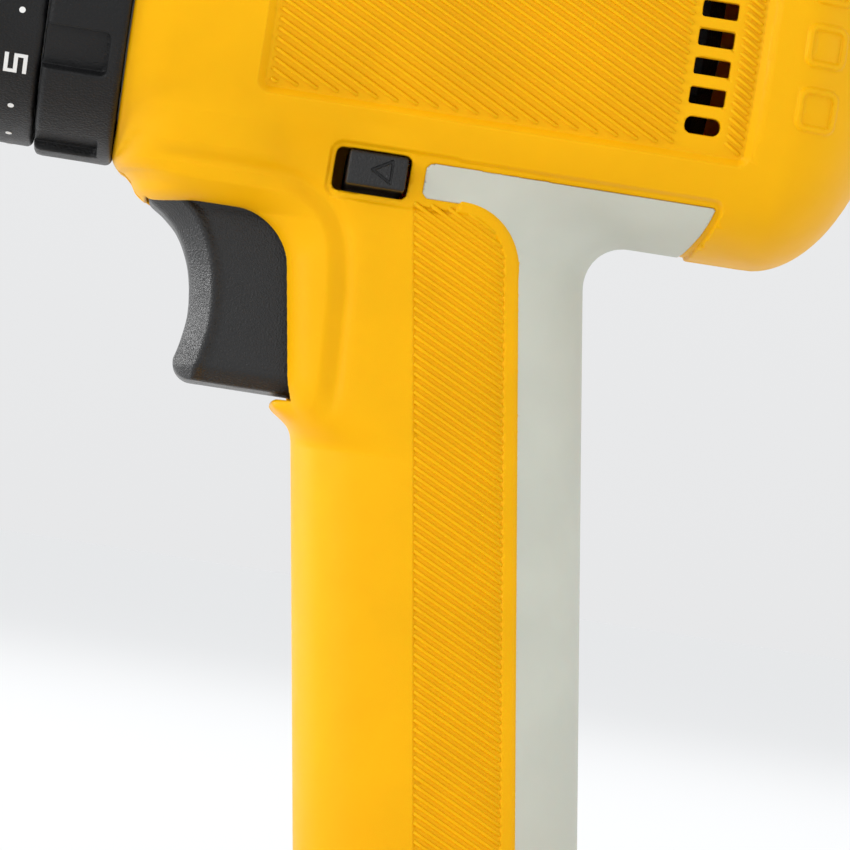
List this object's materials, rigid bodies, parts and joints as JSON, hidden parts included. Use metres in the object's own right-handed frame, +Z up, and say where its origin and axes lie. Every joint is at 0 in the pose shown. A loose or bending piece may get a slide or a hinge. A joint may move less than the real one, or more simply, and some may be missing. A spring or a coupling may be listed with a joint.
{
  "type": "cordless drill",
  "caption": "Cordless drill-driver with a keyless chuck, torque collar, planetary gearbox, trigger and a slide-on battery pack.",
  "frame": {"origin": "centre of the battery pack's flat foot", "axes": "+X out of the chuck, +Y towards the drill's left side, +Z up"},
  "size_m": [0.1804, 0.063, 0.209],
  "materials": {
    "yellow_shell": "satin",
    "grey_grip": "matt",
    "black_plastic": "fine grain",
    "steel": "machined",
    "dark_steel": "blackened",
    "gear_case": "satin",
    "brass": "satin",
    "rotor": "lacquered",
    "lens": "gloss",
    "cell_wrap": "gloss",
    "lead_red": "satin",
    "lead_black": "satin"
  },
  "bodies": {
    "housing": {"housing_left": "yellow_shell", "housing_right": "yellow_shell", "grip_left": "grey_grip", "grip_right": "grey_grip", "switch_body": "black_plastic", "trigger_spring": "steel", "work_light": "lens", "ring_gear_1": "steel", "gearbox_case": "gear_case", "motor_plate": "steel", "clutch_plate": "steel", "clutch_spring": "steel", "spindle_bearing": "dark_steel", "motor_can": "steel", "motor_end_cap": "black_plastic", "terminal_block": "black_plastic", "power_lead_red": "lead_red", "power_lead_black": "lead_black", "housing_screw_1": "dark_steel", "housing_screw_2": "dark_steel", "housing_screw_3": "dark_steel", "housing_screw_4": "dark_steel", "housing_screw_5": "dark_steel"},
    "torque_band": {"torque_band": "black_plastic"},
    "mode_ring": {"mode_ring": "black_plastic"},
    "spindle": {"output_spindle": "steel", "chuck_body": "dark_steel", "chuck_screw": "dark_steel"},
    "chuck_sleeve": {"chuck_sleeve": "black_plastic", "chuck_nut": "brass"},
    "jaw_1": {"chuck_jaw_1": "steel"},
    "jaw_2": {"chuck_jaw_2": "steel"},
    "jaw_3": {"chuck_jaw_3": "steel"},
    "rotor": {"armature": "rotor", "motor_shaft": "steel", "motor_fan": "black_plastic", "motor_pinion": "brass"},
    "planet_carrier": {"planet_carrier": "steel"},
    "planet_1_1": {"planet_1_1": "steel"},
    "planet_1_2": {"planet_1_2": "steel"},
    "planet_1_3": {"planet_1_3": "steel"},
    "planet_2_1": {"planet_2_1": "steel"},
    "planet_2_2": {"planet_2_2": "steel"},
    "planet_2_3": {"planet_2_3": "steel"},
    "trigger": {"trigger": "black_plastic", "trigger_plunger": "steel"},
    "direction_selector": {"direction_selector": "black_plastic"},
    "speed_shift": {"speed_selector": "black_plastic", "shift_fork": "steel", "ring_gear_2": "steel"},
    "battery": {"battery_lower_case": "black_plastic", "battery_upper_case": "black_plastic", "battery_cell_1": "cell_wrap", "battery_cell_2": "cell_wrap", "battery_cell_3": "cell_wrap", "latch_spring": "steel"},
    "battery_latch": {"battery_latch": "yellow_shell"}
  },
  "joints": [
    {"name": "torque_turn", "type": "hinge", "parent": "housing", "child": "torque_band", "pos_m": [0, 0, 0.176], "axis": [1, 0, 0], "range_deg": [-85, 255]},
    {"name": "mode_turn", "type": "hinge", "parent": "housing", "child": "mode_ring", "pos_m": [0, 0, 0.176], "axis": [1, 0, 0], "range_deg": [-40, 40]},
    {"name": "spindle_spin", "type": "hinge", "parent": "housing", "child": "spindle", "pos_m": [0, 0, 0.176], "axis": [1, 0, 0], "continuous": true},
    {"name": "sleeve_turn", "type": "hinge", "parent": "spindle", "child": "chuck_sleeve", "pos_m": [0, 0, 0.176], "axis": [1, 0, 0], "range_deg": [-818, 980]},
    {"name": "jaw_1_slide", "type": "slide", "parent": "spindle", "child": "jaw_1", "axis": [0.9659, 0, -0.2588], "range_m": [-0.00775, 0.0093]},
    {"name": "jaw_2_slide", "type": "slide", "parent": "spindle", "child": "jaw_2", "axis": [0.9659, 0.2241, 0.1294], "range_m": [-0.00775, 0.0093]},
    {"name": "jaw_3_slide", "type": "slide", "parent": "spindle", "child": "jaw_3", "axis": [0.9659, -0.2241, 0.1294], "range_m": [-0.00775, 0.0093]},
    {"name": "rotor_spin", "type": "hinge", "parent": "housing", "child": "rotor", "pos_m": [0, 0, 0.176], "axis": [1, 0, 0], "continuous": true},
    {"name": "carrier_spin", "type": "hinge", "parent": "housing", "child": "planet_carrier", "pos_m": [0, 0, 0.176], "axis": [1, 0, 0], "continuous": true},
    {"name": "planet_1_1_spin", "type": "hinge", "parent": "planet_carrier", "child": "planet_1_1", "pos_m": [0, 0.01125, 0.176], "axis": [1, 0, 0], "continuous": true},
    {"name": "planet_1_2_spin", "type": "hinge", "parent": "planet_carrier", "child": "planet_1_2", "pos_m": [0, -0.00562, 0.18574], "axis": [1, 0, 0], "continuous": true},
    {"name": "planet_1_3_spin", "type": "hinge", "parent": "planet_carrier", "child": "planet_1_3", "pos_m": [0, -0.00562, 0.16626], "axis": [1, 0, 0], "continuous": true},
    {"name": "planet_2_1_spin", "type": "hinge", "parent": "spindle", "child": "planet_2_1", "pos_m": [0, 0.01238, 0.176], "axis": [1, 0, 0], "continuous": true},
    {"name": "planet_2_2_spin", "type": "hinge", "parent": "spindle", "child": "planet_2_2", "pos_m": [0, -0.00619, 0.18672], "axis": [1, 0, 0], "continuous": true},
    {"name": "planet_2_3_spin", "type": "hinge", "parent": "spindle", "child": "planet_2_3", "pos_m": [0, -0.00619, 0.16528], "axis": [1, 0, 0], "continuous": true},
    {"name": "trigger_pull", "type": "slide", "parent": "housing", "child": "trigger", "axis": [-1, 0, 0], "range_m": [0, 0.0075], "stiffness_N_per_m": 600, "springref_m": -0.004, "deforming": ["trigger_spring"]},
    {"name": "direction_push", "type": "slide", "parent": "housing", "child": "direction_selector", "axis": [0, -1, 0], "range_m": [0, 0.0032]},
    {"name": "speed_shift", "type": "slide", "parent": "housing", "child": "speed_shift", "axis": [1, 0, 0], "range_m": [0, 0.004]},
    {"name": "battery_slide", "type": "slide", "parent": "housing", "child": "battery", "axis": [1, 0, 0], "range_m": [0, 0.09]},
    {"name": "latch_press", "type": "slide", "parent": "battery", "child": "battery_latch", "axis": [0, 0, -1], "range_m": [0, 0.0025], "stiffness_N_per_m": 500, "springref_m": -0.002, "deforming": ["latch_spring"]}
  ],
  "couplings": [
    {"joint": "carrier_spin", "follows": "spindle_spin", "ratio": 3.6667},
    {"joint": "rotor_spin", "follows": "spindle_spin", "ratio": 18.333},
    {"joint": "planet_1_1_spin", "follows": "spindle_spin", "ratio": -9.7778},
    {"joint": "planet_2_1_spin", "follows": "spindle_spin", "ratio": -3.2},
    {"joint": "planet_1_2_spin", "follows": "spindle_spin", "ratio": -9.7778},
    {"joint": "planet_2_2_spin", "follows": "spindle_spin", "ratio": -3.2},
    {"joint": "planet_1_3_spin", "follows": "spindle_spin", "ratio": -9.7778},
    {"joint": "planet_2_3_spin", "follows": "spindle_spin", "ratio": -3.2},
    {"joint": "jaw_1_slide", "follows": "sleeve_turn", "m_per_rad": 0.00054113},
    {"joint": "jaw_2_slide", "follows": "sleeve_turn", "m_per_rad": 0.00054113},
    {"joint": "jaw_3_slide", "follows": "sleeve_turn", "m_per_rad": 0.00054113}
  ]
}
